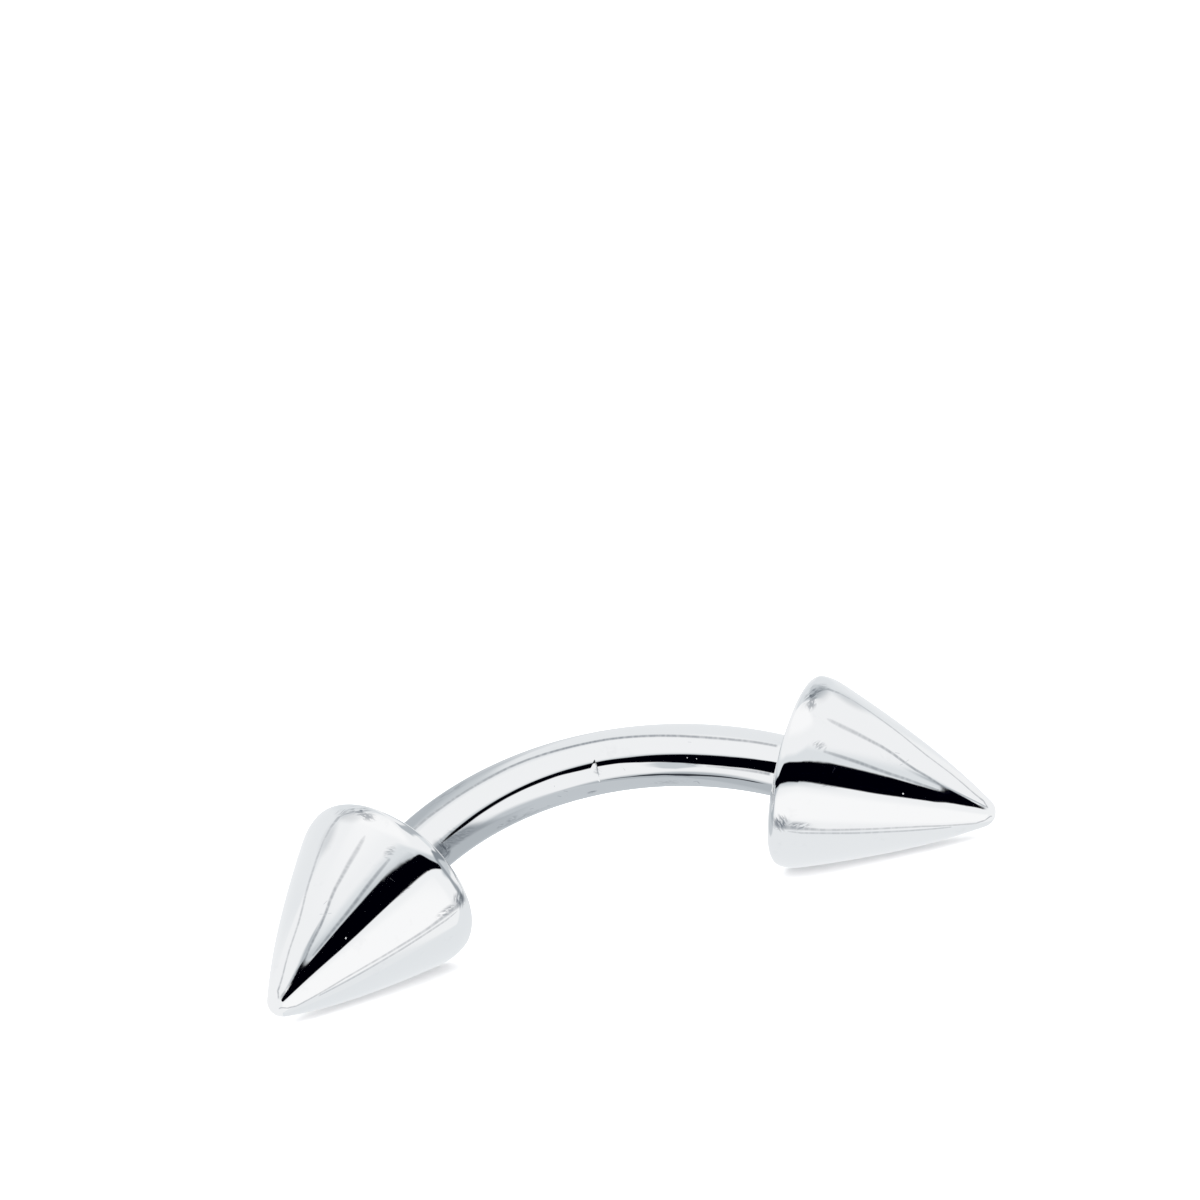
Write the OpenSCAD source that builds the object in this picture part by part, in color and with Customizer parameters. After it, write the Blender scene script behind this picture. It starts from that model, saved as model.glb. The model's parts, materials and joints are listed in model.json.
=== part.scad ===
// Curved eyebrow barbell with two screw-on cones, lying on a flat surface.
// It rests on the straight rear flanks of both cones, so the plane of the bar's arc leans back.
// X runs from one cone to the other, +Z is up and the tips point towards -Y.
// The origin lies on the surface, under the middle of the whole jewel.

/* [Bar] */
// Diameter of the bar, 16 gauge
bar_d = 1.2; // [1:0.1:1.6]
// Wearing length: the straight distance between the two cones' bases
wear_len = 8; // [7:0.5:12]
// Angle between each straight end of the bar and the line through both ends
end_angle = 37; // [32:1:45]
// Length of the straight stretch at each end of the bar
end_len = 0.3; // [0.2:0.1:0.6]

/* [Cones] */
// Largest diameter of a cone, at its base
cone_d = 3.72; // [3.6:0.02:3.9]
// Length of a cone from its base to its tip
cone_len = 4; // [3.9:0.05:4.3]
// Slope of the straight rear flank against the cone's axis
flank_angle = 22; // [20:0.5:23]
// Distance from the base to where the flank starts to curve in
flank_len = 2.2; // [1.8:0.1:2.4]
// Radius of the tight curve round the base's edge
rim_r = 0.18; // [0.1:0.02:0.24]
// Radius of the wider curve from the rim to the straight flank
swell_r = 1; // [0.5:0.1:1.4]
// Radius of the blunt tip
tip_r = 0.3; // [0.25:0.05:0.35]

/* [Thread] */
// Length of the threaded post
post_len = 1.7; // [1.4:0.1:1.8]
// Rise of the thread for each turn
pitch = 0.25; // [0.2:0.05:0.3]
// Depth of the thread
thread_depth = 0.08; // [0.05:0.01:0.1]
// Radial step from the bar down to the thread's crests
shoulder = 0.06; // [0.05:0.01:0.1]
// Play between the thread's crests and the cone's bore
bore_play = 0.03; // [0.02:0.01:0.05]
// Gap between the bar's shoulder and the cone's base
seat_gap = 0.01; // [0.01:0.01:0.03]

/* [Hidden] */
$fn = 96;

steel = [0.80, 0.81, 0.83];
arc_step = 6; // widest turn of one facet along a rounded profile, in degrees

bar_r = bar_d / 2;
end_r = bar_r - 0.005; // the straight ends are turned down by a hair
end_lap = 0.1; // and reach this far into the bent wire, so that they join it at any bend
arc_r = (wear_len / 2 - end_len * cos(end_angle)) / sin(end_angle);
crest_r = bar_r - shoulder;
root_r = crest_r - thread_depth;
bore_r = crest_r + bore_play;
bore_len = post_len + 3 * bore_play;

// The bar's end in the plane of its arc, whose centre is the plane's own origin
end_pos = [wear_len / 2, arc_r * cos(end_angle) - end_len * sin(end_angle)];

// A cone's profile has its axis along the first coordinate, from base to tip.
// Four arcs share their tangents with the flank and with each other: rim, swell, side and tip.
flank_normal = [sin(flank_angle), cos(flank_angle)];
rim_c = [rim_r, cone_d / 2 - rim_r];
swell_c = [rim_r, cone_d / 2 - swell_r];
flank_start = swell_c + swell_r * flank_normal;
flank_end = [flank_len, flank_start[1] - (flank_len - flank_start[0]) * tan(flank_angle)];
tip_c = [cone_len - tip_r, 0];
tip_span = flank_end - tip_c;
side_r = (tip_span * tip_span - tip_r * tip_r) / (2 * (flank_normal * tip_span - tip_r));
side_c = flank_end - side_r * flank_normal;
side_turn = atan2(tip_c[1] - side_c[1], tip_c[0] - side_c[0]);

// Where the flank's line would meet the axis: both such points touch the surface
apex = flank_start[0] + flank_start[1] / tan(flank_angle);
lean = asin(sin(flank_angle) / sin(end_angle));
apex_y = end_pos[1] - apex * sin(end_angle);
lift = -apex_y * sin(lean);

// Depth of the whole jewel: a cone's tip or curved side is foremost, a rim or the bar is rearmost.
// The foremost point of a cone is where its profile faces -Y, turned this far from its axis.
front_turn = acos(sin(end_angle) * cos(lean));
front_dir = [cos(front_turn), sin(front_turn)];
front_reach = front_turn < side_turn ? tip_c * front_dir + tip_r : side_c * front_dir + side_r;
front = end_pos[1] * cos(lean) - front_reach;
rim_y = end_pos[1] - rim_r * sin(end_angle);
rim_reach = rim_c[1] * sin(front_turn) + rim_r;
back = max(arc_r * cos(lean) + bar_r, rim_y * cos(lean) + rim_reach);

// Points on an arc of radius r about c, after its starting point and up to its last
function arc_points(c, r, from, to) =
    let (steps = ceil(abs(to - from) / arc_step), turn = (to - from) / steps)
    [for (i = [1:steps]) c + r * [cos(from + i * turn), sin(from + i * turn)]];

// Leans the arc's plane back and sets both cones on the surface
module laid_down() {
    translate([0, -(front + back) / 2, lift]) rotate([lean, 0, 0]) children();
}

// Puts a shape that runs up +Z from the origin at one end of the bar: side is -1 or 1
module at_end(side) {
    translate([side * end_pos[0], end_pos[1], 0])
        rotate([0, 0, -side * end_angle]) rotate([0, side * 90, 0]) children();
}

// The straight end, its shoulder, and one crest of the thread for each pitch, turned as rings
module threaded_end() {
    crests = floor((post_len - pitch) / pitch);
    profile = [
        [0, -end_len - end_lap],
        [end_r, -end_len - end_lap],
        [end_r, -seat_gap],
        [root_r, -seat_gap],
        for (i = [1:crests]) each [
            [root_r, (i - 0.4) * pitch],
            [crest_r, (i - 0.1) * pitch],
            [crest_r, (i + 0.1) * pitch],
            [root_r, (i + 0.4) * pitch]
        ],
        [root_r, post_len - thread_depth],
        [root_r - thread_depth, post_len],
        [0, post_len]
    ];
    rotate_extrude() polygon(profile);
}

module bent_wire() {
    rotate([0, 0, 90 - end_angle])
        rotate_extrude(angle = 2 * end_angle) translate([arc_r, 0]) circle(r = bar_r);
}

module curved_bar() {
    color(steel) laid_down() {
        bent_wire();
        for (side = [-1, 1]) at_end(side) threaded_end();
    }
}

// A blind bore, the flat base, the rim, the swell, the straight flank, the curved side and the tip
module cone() {
    profile = concat(
        [[bore_len, 0], [bore_len, bore_r], [0, bore_r], [0, rim_c[1]]],
        arc_points(rim_c, rim_r, 180, 90),
        arc_points(swell_c, swell_r, 90, 90 - flank_angle),
        [flank_end],
        arc_points(side_c, side_r, 90 - flank_angle, side_turn),
        arc_points(tip_c, tip_r, side_turn, 0)
    );
    rotate_extrude() polygon([for (p = profile) [p[1], p[0]]]);
}

module cone_left() {
    color(steel) laid_down() at_end(-1) cone();
}

module cone_right() {
    color(steel) laid_down() at_end(1) cone();
}

curved_bar();
cone_left();
cone_right();
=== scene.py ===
import json
import math

import bpy
import numpy as np
from bpy.props import FloatProperty, FloatVectorProperty, IntProperty, PointerProperty
from bpy.types import Operator, Panel, PropertyGroup
from mathutils import Matrix, Vector


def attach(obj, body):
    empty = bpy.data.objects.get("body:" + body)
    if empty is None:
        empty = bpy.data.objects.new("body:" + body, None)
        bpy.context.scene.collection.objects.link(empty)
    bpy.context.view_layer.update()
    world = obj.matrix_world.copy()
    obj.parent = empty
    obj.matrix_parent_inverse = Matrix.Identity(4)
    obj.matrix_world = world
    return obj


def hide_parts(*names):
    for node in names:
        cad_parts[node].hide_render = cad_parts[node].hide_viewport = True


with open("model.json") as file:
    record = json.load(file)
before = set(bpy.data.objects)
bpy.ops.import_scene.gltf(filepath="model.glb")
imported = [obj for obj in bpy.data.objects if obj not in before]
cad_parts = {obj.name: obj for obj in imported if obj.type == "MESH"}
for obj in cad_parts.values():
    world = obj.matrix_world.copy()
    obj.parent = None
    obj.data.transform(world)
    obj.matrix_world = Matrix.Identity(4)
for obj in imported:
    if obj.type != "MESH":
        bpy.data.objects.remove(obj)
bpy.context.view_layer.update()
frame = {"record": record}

bl_info = {
    "name": "Curved Barbell",
    "version": (1, 0, 0),
    "blender": (4, 5, 0),
    "location": "View3D > Sidebar > Barbell",
    "description": "Polished surfaces, studio and camera for a curved barbell with two cones",
    "category": "Add Mesh",
}

MM = 0.001  # metres in a millimetre

SHARP_ANGLE = math.radians(35)  # faces that meet more sharply than this keep their edge
ARC_STEPS = (20, 12, 16, 26, 20)  # points on a cone's rim, swell, flank, side and tip
BAR_STATIONS = 170  # places along the bar between its shoulders
POST_STATIONS = 90  # places along each threaded post
BAR_ANGLES = 129  # places round the bar, with the first one again at the end
SHOULDER_STEP = 0.002 * MM  # length of the step from the bar down to the thread
NICK_ALONG = (0.20 * MM, 0.46 * MM, 64)  # a closer row of places by the nick: start, end and how many
NICK_ROUND = (1.23 * MM, 1.86 * MM, 80)  # the same round the bar
NEARBY = 0.004 * MM  # other places within this of a closer row are left out
THREAD_FOOT = 0.4  # half the thread's width at its root, in pitches
THREAD_SLOPE = 0.3  # width of each of its slopes, in pitches
CURVE_SPAN = 400  # a curve node's heights from 0 to 1 stand for -200 to 200
NODE_COLUMNS = 12  # nodes in each row of a material's layout
NODE_STEP = (180, -260)  # from one node to the next, across and down
SHELL_RADII = {"bar": 0.50, "left": 0.52, "right": 0.54}  # metres, so that no two shells coincide

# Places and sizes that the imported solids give
MOUNTS = {mount["name"]: mount for mount in frame["record"]["mounts"]}
JOINTS = {joint["name"]: joint for joint in frame["record"]["behaviour"]["joints"]}
CROWN = np.array(MOUNTS["piercing_bar"]["pos_m"])
BAR_DIMS = MOUNTS["piercing_bar"]["dims"]
RIGHT_AXIS = np.array(JOINTS["right_cone_unscrew"]["axis"])
RIGHT_AXIS = RIGHT_AXIS / np.linalg.norm(RIGHT_AXIS)

# The plane of the bar's arc: ACROSS from cone to cone, UPWARD to the crown, and OUTWARD square to both
ACROSS = np.array([1.0, 0.0, 0.0])
UPWARD = -np.array([0.0, RIGHT_AXIS[1], RIGHT_AXIS[2]]) / math.hypot(RIGHT_AXIS[1], RIGHT_AXIS[2])
OUTWARD = np.cross(ACROSS, UPWARD)


class BarbellSizes(PropertyGroup):
    """Real sizes of the bar, its threaded posts and the cones."""

    bar_diameter: FloatProperty(
        name="Bar Diameter", description="Thickness of the round bar",
        default=2 * BAR_DIMS["r_mm"] * MM, subtype="DISTANCE", unit="LENGTH", precision=6)
    wearing_length: FloatProperty(
        name="Wearing Length", description="Straight distance between the two cones' bases",
        default=BAR_DIMS["length_mm"] * MM, subtype="DISTANCE", unit="LENGTH", precision=6)
    end_angle: FloatProperty(
        name="End Angle", description="Angle between each cone's axis and the line through both ends",
        default=math.acos(RIGHT_AXIS[0]), subtype="ANGLE", unit="ROTATION")
    end_length: FloatProperty(
        name="Straight End", description="Length of the straight stretch before each cone",
        default=0.3 * MM, subtype="DISTANCE", unit="LENGTH", precision=6)
    cone_diameter: FloatProperty(
        name="Cone Diameter", description="Largest diameter of a cone, at its base",
        default=3.72 * MM, subtype="DISTANCE", unit="LENGTH", precision=6)
    cone_length: FloatProperty(
        name="Cone Length", description="From a cone's base to its tip",
        default=4.0 * MM, subtype="DISTANCE", unit="LENGTH", precision=6)
    flank_angle: FloatProperty(
        name="Flank Angle", description="Mean slope of the rear flank against the cone's axis",
        default=math.radians(22.0), subtype="ANGLE", unit="ROTATION")
    flank_bow: FloatProperty(
        name="Flank Bow", description="How much steeper the flank is at its end than at its start",
        default=math.radians(4.0), min=math.radians(0.1), subtype="ANGLE", unit="ROTATION")
    flank_length: FloatProperty(
        name="Flank Length", description="From the base to where the flank starts to curve in",
        default=2.2 * MM, subtype="DISTANCE", unit="LENGTH", precision=6)
    rim_radius: FloatProperty(
        name="Rim Radius", description="Radius of the tight curve round the base's edge",
        default=0.18 * MM, subtype="DISTANCE", unit="LENGTH", precision=6)
    swell_radius: FloatProperty(
        name="Swell Radius", description="Radius of the wider curve from the rim to the flank",
        default=1.0 * MM, subtype="DISTANCE", unit="LENGTH", precision=6)
    tip_radius: FloatProperty(
        name="Tip Radius", description="Radius of the blunt tip",
        default=0.3 * MM, subtype="DISTANCE", unit="LENGTH", precision=6)
    post_length: FloatProperty(
        name="Post Length", description="Length of the threaded post",
        default=1.7 * MM, subtype="DISTANCE", unit="LENGTH", precision=6)
    pitch: FloatProperty(
        name="Pitch", description="Rise of the thread for each turn",
        default=0.25 * MM, subtype="DISTANCE", unit="LENGTH", precision=6)
    thread_depth: FloatProperty(
        name="Thread Depth", description="From the thread's crest to its root",
        default=0.08 * MM, subtype="DISTANCE", unit="LENGTH", precision=6)
    shoulder: FloatProperty(
        name="Shoulder", description="Step from the bar down to the thread's crest",
        default=0.06 * MM, subtype="DISTANCE", unit="LENGTH", precision=6)
    bore_play: FloatProperty(
        name="Bore Play", description="Play between the thread's crest and the cone's bore",
        default=0.03 * MM, subtype="DISTANCE", unit="LENGTH", precision=6)
    seat_gap: FloatProperty(
        name="Seat Gap", description="Gap between the bar's shoulder and the cone's base",
        default=0.01 * MM, subtype="DISTANCE", unit="LENGTH", precision=6)
    left_turn: FloatProperty(
        name="Left Cone's Turn", description="How much further the left cone is screwed round than the right",
        default=math.radians(7.2), subtype="ANGLE", unit="ROTATION")
    nick_depth: FloatProperty(
        name="Nick Depth", description="Depth of the small dent in the bar",
        default=0.02 * MM, subtype="DISTANCE", unit="LENGTH", precision=6)
    points_round: IntProperty(
        name="Points Round", description="Points round each turned surface", default=288, min=24, max=512)


class SteelFinish(PropertyGroup):
    """Colour and polish of the steel."""

    steel_colour: FloatVectorProperty(
        name="Steel", description="Colour of the clean polished steel",
        default=(0.845, 0.85, 0.857), size=3, subtype="COLOR", min=0.0, max=1.0)
    smudge_colour: FloatVectorProperty(
        name="Smudge", description="Colour of the steel under a smudge",
        default=(0.76, 0.77, 0.78), size=3, subtype="COLOR", min=0.0, max=1.0)
    scratch_colour: FloatVectorProperty(
        name="Scratch", description="Colour of the steel in a scratch or a rubbed patch",
        default=(0.50, 0.52, 0.55), size=3, subtype="COLOR", min=0.0, max=1.0)
    # Painted reflection: the colour that the fine dark reflection lines and the dark patches give the steel
    line_colour: FloatVectorProperty(
        name="Line", description="Colour of the steel in a fine drawn line or a worn patch",
        default=(0.22, 0.24, 0.27), size=3, subtype="COLOR", min=0.0, max=1.0)
    polish_roughness: FloatProperty(
        name="Polish", description="Roughness of the clean polished steel", default=0.03, min=0.0, max=1.0)
    wave_height: FloatProperty(
        name="Wave Height", description="Height in mm of the shallow waves that hand polishing leaves",
        default=0.0018)
    turned_roughness: FloatProperty(
        name="Turned Roughness", description="Extra roughness of the cones' turned bases and bores",
        default=0.26, min=0.0, max=1.0)
    ring_height: FloatProperty(
        name="Ring Height", description="Height in mm of the fine rings that turning leaves", default=0.0001)
    line_height: FloatProperty(
        name="Line Height", description="Height in mm of the fine lines along the surface", default=0.0004)


class StudioSettings(PropertyGroup):
    """Light, floor and camera."""

    shell_strength: FloatProperty(
        name="Shell Light", description="Brightness of the white surroundings that the steel mirrors",
        default=1.07, min=0.0)
    tent_strength: FloatProperty(
        name="Tent Light", description="Brightness of the white tent", default=2.2, min=0.0)
    floor_colour: FloatVectorProperty(
        name="Floor", description="Colour of the floor", default=(0.95, 0.95, 0.955), size=3, subtype="COLOR",
        min=0.0, max=1.0)
    azimuth: FloatProperty(
        name="Azimuth", description="Where the camera stands round the jewel, from straight in front",
        default=math.radians(-12.026), subtype="ANGLE", unit="ROTATION")
    elevation: FloatProperty(
        name="Elevation", description="Height of the camera above the floor, as an angle",
        default=math.radians(10.114), subtype="ANGLE", unit="ROTATION")
    roll: FloatProperty(
        name="Roll", description="Clockwise turn of the camera about its line of sight",
        default=math.radians(12.751), subtype="ANGLE", unit="ROTATION")
    distance: FloatProperty(
        name="Distance", description="From the camera to the point that it aims at",
        default=250 * MM, subtype="DISTANCE", unit="LENGTH")
    aim: FloatVectorProperty(
        name="Aim", description="Point in the middle of the picture",
        default=(1.33743 * MM, 1.56104 * MM, 5.73594 * MM), size=3, subtype="XYZ", unit="LENGTH", precision=6)
    picture_width: FloatProperty(
        name="Picture Width", description="Width of what the picture takes in at the aim's distance",
        default=22.8311 * MM, subtype="DISTANCE", unit="LENGTH", precision=6)


class Value:
    """A number that varies over a surface. Operators on it add Math nodes."""

    def __init__(self, bench, socket):
        self.bench = bench
        self.socket = socket

    def math(self, operation, *others):
        node = self.bench.add("Math", {"operation": operation}, self, *others)
        return Value(self.bench, node.outputs[0])

    def __add__(self, other):
        return self.math("ADD", other)

    def __mul__(self, other):
        return self.math("MULTIPLY", other)

    def __sub__(self, other):
        return self.math("SUBTRACT", other)

    def __rsub__(self, other):
        return (self * -1.0) + other

    def __truediv__(self, other):
        return self.math("DIVIDE", other)

    def __pow__(self, other):
        return self.math("POWER", other)

    def __abs__(self):
        return self.math("ABSOLUTE")

    def most(self, other):
        return self.math("MAXIMUM", other)

    def rise(self, low, high):
        """0 below low, 1 above high, and a soft step between them."""
        node = self.bench.add("MapRange", {"interpolation_type": "SMOOTHSTEP"}, self, low, high, 0.0, 1.0)
        return Value(self.bench, node.outputs[0])


class Bench:
    """Adds shader nodes to one material, each with its settings first and then its sockets."""

    def __init__(self, material):
        material.use_nodes = True
        self.tree = material.node_tree
        self.tree.nodes.clear()

    def add(self, kind, settings=None, *inputs, **named):
        row, column = divmod(len(self.tree.nodes), NODE_COLUMNS)
        node = self.tree.nodes.new("ShaderNode" + kind)
        node.location = (NODE_STEP[0] * column, NODE_STEP[1] * row)
        for name, setting in (settings or {}).items():
            setattr(node, name, setting)
        for place, value in [*enumerate(inputs), *named.items()]:
            self.plug(node.inputs[place], value)
        return node

    def plug(self, socket, value):
        if isinstance(value, Value):
            value = value.socket
        if isinstance(value, bpy.types.NodeSocket):
            self.tree.links.new(value, socket)
        else:
            socket.default_value = value

    def value(self, kind, settings=None, *inputs, output=0, **named):
        return Value(self, self.add(kind, settings, *inputs, **named).outputs[output])

    def curve(self, value, rows, side):
        """A height that follows straight lines through the rows, level past both ends. A row's first
        value is its place, and the one at side is its height, from -200 to 200."""
        start, stop = rows[0][0], rows[-1][0]
        node = self.add("FloatCurve", None, 1.0, (value - start) / (stop - start))
        node.mapping.extend = "HORIZONTAL"
        line = node.mapping.curves[0]
        while len(line.points) < len(rows):
            line.points.new(0.5, 0.5)
        for knot, row in zip(line.points, rows):
            knot.location = ((row[0] - start) / (stop - start), row[side] / CURVE_SPAN + 0.5)
            knot.handle_type = "VECTOR"
        node.mapping.update()
        return (Value(self, node.outputs[0]) - 0.5) * CURVE_SPAN

    def tint(self, share, colour, shade):
        """The colour, with a share of a shade mixed into it."""
        node = self.add("Mix", {"data_type": "RGBA"}, share)
        first, second, mixed = node.inputs[6], node.inputs[7], node.outputs[2]  # its sockets for colours
        self.plug(first, colour)
        self.plug(second, (*shade, 1.0))
        return mixed


def add_object(name, data):
    item = bpy.data.objects.new(name, data)
    bpy.context.collection.objects.link(item)
    return item


def arc_radius(size):
    """Half the wearing length is a straight end and the arc's half chord, both laid along ACROSS."""
    half_chord = size.wearing_length / 2 - size.end_length * math.cos(size.end_angle)
    return half_chord / math.sin(size.end_angle)


def cone_base(size, side):
    """Middle of a cone's base: round the arc to its end, and then out along the straight end."""
    radius = arc_radius(size)
    centre = CROWN - radius * UPWARD
    rise = radius * math.cos(size.end_angle) - size.end_length * math.sin(size.end_angle)
    return centre + side * size.wearing_length / 2 * ACROSS + rise * UPWARD


def cone_axis(size, side):
    return side * math.cos(size.end_angle) * ACROSS - math.sin(size.end_angle) * UPWARD


def skin(name, rings, first, last, lengths, turns=None):
    """A closed skin over rings of points with the shape (stations, points round, 3).
    Quads join neighbouring rings and a fan closes each end to one point. In the UV map, U runs
    once round and V is the distance along in millimetres."""
    stations, around, _ = rings.shape
    grid = np.arange(stations * around).reshape(stations, around)
    turned = np.roll(grid, -1, axis=1)
    quads = np.stack([grid[:-1], turned[:-1], turned[1:], grid[1:]], axis=-1).reshape(-1, 4)
    start, end = stations * around, stations * around + 1
    start_fan = np.stack([turned[0], grid[0], np.full(around, start)], axis=-1)
    end_fan = np.stack([grid[-1], turned[-1], np.full(around, end)], axis=-1)
    points = np.concatenate([rings.reshape(-1, 3), [first, last]])

    here = np.arange(around) / around if turns is None else turns
    after = np.append(here[1:], here[0] + 1.0)
    along = np.asarray(lengths) / MM
    quad_u = np.broadcast_to(np.stack([here, after, after, here], axis=-1), (stations - 1, around, 4))
    quad_v = np.stack([along[:-1], along[:-1], along[1:], along[1:]], axis=-1)
    quad_v = np.broadcast_to(quad_v[:, None, :], (stations - 1, around, 4))
    middle = (here + after) / 2
    start_u = np.stack([after, here, middle], axis=-1)
    end_u = np.stack([here, after, middle], axis=-1)
    u = np.concatenate([quad_u.ravel(), start_u.ravel(), end_u.ravel()])
    v = np.concatenate([quad_v.ravel(), np.full(3 * around, along[0]), np.full(3 * around, along[-1])])

    mesh = bpy.data.meshes.new(name)
    mesh.from_pydata(points.tolist(), [], quads.tolist() + start_fan.tolist() + end_fan.tolist())
    uv = mesh.uv_layers.new(name="along")
    uv.data.foreach_set("uv", np.stack([u, v], axis=-1).ravel())
    mesh.polygons.foreach_set("use_smooth", np.ones(len(mesh.polygons), bool))
    mesh.update()
    point_outwards(mesh)
    mesh.set_sharp_from_angle(angle=SHARP_ANGLE)
    return add_object(name, mesh)


def point_outwards(mesh):
    """Turns every face round if the skin encloses a negative volume."""
    mesh.calc_loop_triangles()
    corners = np.empty(len(mesh.loop_triangles) * 3, np.int32)
    mesh.loop_triangles.foreach_get("vertices", corners)
    points = np.empty(len(mesh.vertices) * 3, np.float32)
    mesh.vertices.foreach_get("co", points)
    triangles = points.reshape(-1, 3).astype(float)[corners.reshape(-1, 3)]
    triangles -= triangles.mean(axis=(0, 1))
    volume = np.einsum("ij,ij->i", triangles[:, 0], np.cross(triangles[:, 1], triangles[:, 2])).sum()
    if volume < 0:
        mesh.flip_normals()


def arc(centre, radius, start, stop, count):
    """Points on a circle about centre, from one angle to another, the first left out."""
    angle = np.linspace(start, stop, count + 1)[1:]
    return np.stack([centre[0] + radius * np.cos(angle), centre[1] + radius * np.sin(angle)], axis=-1)


def facing(slope):
    """Outward normal of a stretch of profile that falls with this slope."""
    return np.array([math.sin(slope), math.cos(slope)])


def cone_profile(size):
    """Rows of (distance along the axis, distance from it): the bore's floor and wall, the flat base,
    and then the arcs of rim, swell, flank, side and tip, each tangent to the next. The flank's arc
    is so wide that it bows out by only a hundredth of a millimetre or two."""
    slope, half_bow = size.flank_angle, size.flank_bow / 2
    rim = np.array([size.rim_radius, size.cone_diameter / 2 - size.rim_radius])
    swell = np.array([size.rim_radius, size.cone_diameter / 2 - size.swell_radius])
    flank_start = swell + size.swell_radius * facing(slope - half_bow)
    mean_start = swell + size.swell_radius * facing(slope)
    drop = (size.flank_length - mean_start[0]) * math.tan(slope)
    flank_end = np.array([size.flank_length, mean_start[1] - drop])
    flank_radius = np.linalg.norm(flank_end - flank_start) / (2 * math.sin(half_bow))
    end_normal = facing(slope + half_bow)
    flank = flank_end - flank_radius * end_normal
    tip = np.array([size.cone_length - size.tip_radius, 0.0])
    span = flank_end - tip
    side_radius = (span @ span - size.tip_radius ** 2) / (2 * (end_normal @ span - size.tip_radius))
    side = flank_end - side_radius * end_normal
    side_turn = math.atan2(tip[1] - side[1], tip[0] - side[0])
    bore_radius = size.bar_diameter / 2 - size.shoulder + size.bore_play
    bore_length = size.post_length + 3 * size.bore_play
    upward = math.pi / 2
    centres = (rim, swell, flank, side, tip)
    radii = (size.rim_radius, size.swell_radius, flank_radius, side_radius, size.tip_radius)
    turns = (math.pi, upward, upward - slope + half_bow, upward - slope - half_bow, side_turn, 0.0)
    arcs = [arc(*numbers) for numbers in zip(centres, radii, turns, turns[1:], ARC_STEPS)]
    return np.concatenate([[[bore_length, bore_radius], [0.0, bore_radius], [0.0, rim[1]]], *arcs])[:-1]


def make_cone(name, size, side):
    """Turns the profile about the cone's axis, from the middle of the bore's floor to the tip."""
    profile = cone_profile(size)
    base, axis = cone_base(size, side), cone_axis(size, side)
    level = side * np.cross(OUTWARD, axis)
    turned = 0.0 if side > 0 else size.left_turn
    angle = np.arange(size.points_round) / size.points_round * 2 * math.pi + turned
    around = np.cos(angle)[:, None] * OUTWARD + np.sin(angle)[:, None] * level
    rings = base + profile[:, 0, None, None] * axis + profile[:, 1, None, None] * around
    steps = np.linalg.norm(np.diff(profile, axis=0), axis=1)
    lengths = np.concatenate([[0.0], np.cumsum(steps)])
    return skin(name, rings, base + profile[0, 0] * axis, base + size.cone_length * axis, lengths)


def bar_line(size, place):
    """Centre and outward radial direction at each signed distance from the crown: a circle's arc
    in the plane of ACROSS and UPWARD, and its tangent lines past both ends."""
    radius = arc_radius(size)
    half = radius * size.end_angle
    bend = np.clip(place, -half, half)
    turn = (bend / radius)[:, None]
    tangent = np.cos(turn) * ACROSS - np.sin(turn) * UPWARD
    radial = np.sin(turn) * ACROSS + np.cos(turn) * UPWARD
    centre = CROWN - radius * UPWARD + radius * radial + (place - bend)[:, None] * tangent
    return centre, radial


def thread_height(size, beyond, angle, side):
    """1 on the crest of a right-hand thread and 0 at its root: a trapezoid of the distance
    beyond the shoulder, moved on by one pitch for each turn, and faded out at both ends."""
    phase = beyond[:, None] / size.pitch - side[:, None] * angle[None, :] / (2 * math.pi)
    ridge = np.clip((THREAD_FOOT - np.abs(phase % 1.0 - 0.5)) / THREAD_SLOPE, 0.0, 1.0)
    fade = np.clip(beyond / size.pitch, 0, 1) * np.clip((size.post_length - beyond) / size.pitch, 0, 1)
    return ridge * fade[:, None]


def make_bar(name, size):
    """Carries a circle along the bar's line. Its radius is the bar's between the shoulders, and
    the thread's on both posts, and one small dent is pressed into the bar."""
    bar_radius = size.bar_diameter / 2
    seat = arc_radius(size) * size.end_angle + size.end_length - size.seat_gap
    post_end = seat + size.seat_gap + size.post_length
    body = closer(np.linspace(-seat, seat, BAR_STATIONS), *NICK_ALONG)
    thread = np.linspace(seat + SHOULDER_STEP, post_end - size.thread_depth, POST_STATIONS)
    post = np.append(thread, post_end)
    place = np.concatenate([-post[::-1], body, post])
    nick_start, nick_stop, nick_count = NICK_ROUND
    angle = np.linspace(0, 2 * math.pi, BAR_ANGLES)
    angle = closer(angle, nick_start / bar_radius, nick_stop / bar_radius, nick_count)[:-1]
    centre, radial = bar_line(size, place)
    around = np.cos(angle)[None, :, None] * radial[:, None, :] + np.sin(angle)[None, :, None] * OUTWARD

    root = bar_radius - size.shoulder - size.thread_depth
    beyond = np.abs(place) - seat - size.seat_gap
    radius = root + size.thread_depth * thread_height(size, beyond, angle, np.sign(place))
    radius[[0, -1]] = root - size.thread_depth
    on_bar = np.abs(place) <= seat
    radius[on_bar] = bar_radius
    radius -= size.nick_depth * nick_shape(place, angle * bar_radius)
    rings = centre[:, None, :] + radius[:, :, None] * around
    return skin(name, rings, centre[0], centre[-1], place - place[0], angle / (2 * math.pi))


def closer(places, start, stop, count):
    """Puts a closer row of places between start and stop."""
    outside = places[(places < start - NEARBY) | (places > stop + NEARBY)]
    return np.sort(np.concatenate([outside, np.linspace(start, stop, count)]))


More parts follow.
